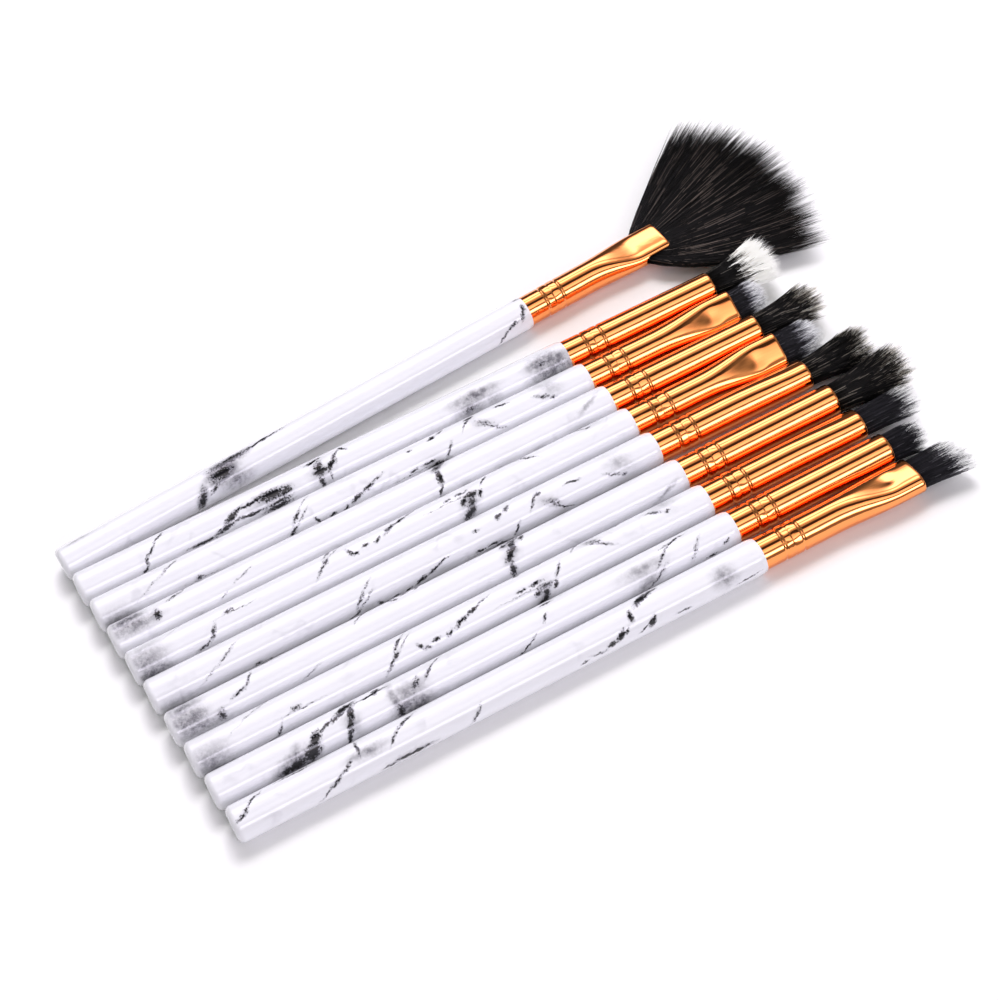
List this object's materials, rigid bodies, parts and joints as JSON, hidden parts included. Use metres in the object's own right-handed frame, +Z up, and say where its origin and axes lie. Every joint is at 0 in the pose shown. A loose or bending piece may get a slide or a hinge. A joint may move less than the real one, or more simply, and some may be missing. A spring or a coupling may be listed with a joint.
{
  "type": "eye makeup brush set",
  "caption": "Row of small make-up brushes with marble-print handles, crimped rose-gold ferrules and soft tufts that bend at the mouth. Each brush lifts off by itself.",
  "frame": {"origin": "on the table, below the middle of the whole set's box", "axes": "+X along the handles towards the hair, +Y across the row towards the fan brush, +Z up from the table"},
  "size_m": [0.1704, 0.1108, 0.0106],
  "materials": {
    "handle_marble": "glossy white marble print under clear lacquer",
    "ferrule_rose_gold": "polished rose-gold anodised",
    "glue_epoxy": "cured epoxy",
    "hair_black": "black synthetic hair",
    "hair_black_white": "black synthetic hair with white tips",
    "hair_slate_white": "dense dark slate synthetic hair with white tips"
  },
  "bodies": {
    "fan_brush": {"fan_handle": "handle_marble", "fan_ferrule": "ferrule_rose_gold", "fan_glue_plug": "glue_epoxy", "fan_hair_root": "hair_black"},
    "fan_hair": {"fan_tuft": "hair_black"},
    "blending_brush": {"blending_handle": "handle_marble", "blending_ferrule": "ferrule_rose_gold", "blending_glue_plug": "glue_epoxy", "blending_hair_root": "hair_black_white"},
    "blending_hair": {"blending_tuft": "hair_black_white"},
    "small_shader_brush": {"small_shader_handle": "handle_marble", "small_shader_ferrule": "ferrule_rose_gold", "small_shader_glue_plug": "glue_epoxy", "small_shader_hair_root": "hair_slate_white"},
    "small_shader_hair": {"small_shader_tuft": "hair_slate_white"},
    "crease_brush": {"crease_handle": "handle_marble", "crease_ferrule": "ferrule_rose_gold", "crease_glue_plug": "glue_epoxy", "crease_hair_root": "hair_black_white"},
    "crease_hair": {"crease_tuft": "hair_black_white"},
    "flat_shader_brush": {"flat_shader_handle": "handle_marble", "flat_shader_ferrule": "ferrule_rose_gold", "flat_shader_glue_plug": "glue_epoxy", "flat_shader_hair_root": "hair_slate_white"},
    "flat_shader_hair": {"flat_shader_tuft": "hair_slate_white"},
    "tapered_brush": {"tapered_handle": "handle_marble", "tapered_ferrule": "ferrule_rose_gold", "tapered_glue_plug": "glue_epoxy", "tapered_hair_root": "hair_black_white"},
    "tapered_hair": {"tapered_tuft": "hair_black_white"},
    "large_fluffy_brush": {"large_fluffy_handle": "handle_marble", "large_fluffy_ferrule": "ferrule_rose_gold", "large_fluffy_glue_plug": "glue_epoxy", "large_fluffy_hair_root": "hair_black_white"},
    "large_fluffy_hair": {"large_fluffy_tuft": "hair_black_white"},
    "definer_brush": {"definer_handle": "handle_marble", "definer_ferrule": "ferrule_rose_gold", "definer_glue_plug": "glue_epoxy", "definer_hair_root": "hair_slate_white"},
    "definer_hair": {"definer_tuft": "hair_slate_white"},
    "smudge_brush": {"smudge_handle": "handle_marble", "smudge_ferrule": "ferrule_rose_gold", "smudge_glue_plug": "glue_epoxy", "smudge_hair_root": "hair_slate_white"},
    "smudge_hair": {"smudge_tuft": "hair_slate_white"},
    "filbert_brush": {"filbert_handle": "handle_marble", "filbert_ferrule": "ferrule_rose_gold", "filbert_glue_plug": "glue_epoxy", "filbert_hair_root": "hair_slate_white"},
    "filbert_hair": {"filbert_tuft": "hair_slate_white"}
  },
  "joints": [
    {"name": "fan_pick_up", "type": "slide", "parent": "filbert_brush", "child": "fan_brush", "axis": [0, 0, 1], "range_m": [0, 0.08]},
    {"name": "blending_pick_up", "type": "slide", "parent": "filbert_brush", "child": "blending_brush", "axis": [0, 0, 1], "range_m": [0, 0.08]},
    {"name": "small_shader_pick_up", "type": "slide", "parent": "filbert_brush", "child": "small_shader_brush", "axis": [0, 0, 1], "range_m": [0, 0.08]},
    {"name": "crease_pick_up", "type": "slide", "parent": "filbert_brush", "child": "crease_brush", "axis": [0, 0, 1], "range_m": [0, 0.08]},
    {"name": "flat_shader_pick_up", "type": "slide", "parent": "filbert_brush", "child": "flat_shader_brush", "axis": [0, 0, 1], "range_m": [0, 0.08]},
    {"name": "tapered_pick_up", "type": "slide", "parent": "filbert_brush", "child": "tapered_brush", "axis": [0, 0, 1], "range_m": [0, 0.08]},
    {"name": "large_fluffy_pick_up", "type": "slide", "parent": "filbert_brush", "child": "large_fluffy_brush", "axis": [0, 0, 1], "range_m": [0, 0.08]},
    {"name": "definer_pick_up", "type": "slide", "parent": "filbert_brush", "child": "definer_brush", "axis": [0, 0, 1], "range_m": [0, 0.08]},
    {"name": "smudge_pick_up", "type": "slide", "parent": "filbert_brush", "child": "smudge_brush", "axis": [0, 0, 1], "range_m": [0, 0.08]},
    {"name": "fan_tuft_flex", "type": "hinge", "parent": "fan_brush", "child": "fan_hair", "pos_m": [0.0548, 0.02843, 0.0035], "axis": [0.075, -0.9972, 0], "range_deg": [0, 30], "stiffness_Nm_per_rad": 0.012},
    {"name": "blending_tuft_flex", "type": "hinge", "parent": "blending_brush", "child": "blending_hair", "pos_m": [0.05796, 0.01051, 0.0035], "axis": [0, -1, 0], "range_deg": [0, 35], "stiffness_Nm_per_rad": 0.003},
    {"name": "small_shader_tuft_flex", "type": "hinge", "parent": "small_shader_brush", "child": "small_shader_hair", "pos_m": [0.05836, 0.00301, 0.0035], "axis": [0, -1, 0], "range_deg": [0, 30], "stiffness_Nm_per_rad": 0.006},
    {"name": "crease_tuft_flex", "type": "hinge", "parent": "crease_brush", "child": "crease_hair", "pos_m": [0.05956, -0.00439, 0.0035], "axis": [0, -1, 0], "range_deg": [0, 35], "stiffness_Nm_per_rad": 0.003},
    {"name": "flat_shader_tuft_flex", "type": "hinge", "parent": "flat_shader_brush", "child": "flat_shader_hair", "pos_m": [0.05993, -0.01169, 0.0035], "axis": [0, -1, 0], "range_deg": [0, 30], "stiffness_Nm_per_rad": 0.006},
    {"name": "tapered_tuft_flex", "type": "hinge", "parent": "tapered_brush", "child": "tapered_hair", "pos_m": [0.06096, -0.01939, 0.0035], "axis": [0, -1, 0], "range_deg": [0, 35], "stiffness_Nm_per_rad": 0.003},
    {"name": "large_fluffy_tuft_flex", "type": "hinge", "parent": "large_fluffy_brush", "child": "large_fluffy_hair", "pos_m": [0.06196, -0.02779, 0.0035], "axis": [0, -1, 0], "range_deg": [0, 35], "stiffness_Nm_per_rad": 0.003},
    {"name": "definer_tuft_flex", "type": "hinge", "parent": "definer_brush", "child": "definer_hair", "pos_m": [0.06259, -0.03549, 0.0035], "axis": [0, -1, 0], "range_deg": [0, 28], "stiffness_Nm_per_rad": 0.008},
    {"name": "smudge_tuft_flex", "type": "hinge", "parent": "smudge_brush", "child": "smudge_hair", "pos_m": [0.06356, -0.04339, 0.0035], "axis": [0, -1, 0], "range_deg": [0, 25], "stiffness_Nm_per_rad": 0.01},
    {"name": "filbert_tuft_flex", "type": "hinge", "parent": "filbert_brush", "child": "filbert_hair", "pos_m": [0.06334, -0.05119, 0.0035], "axis": [0, -1, 0], "range_deg": [0, 30], "stiffness_Nm_per_rad": 0.006}
  ]
}
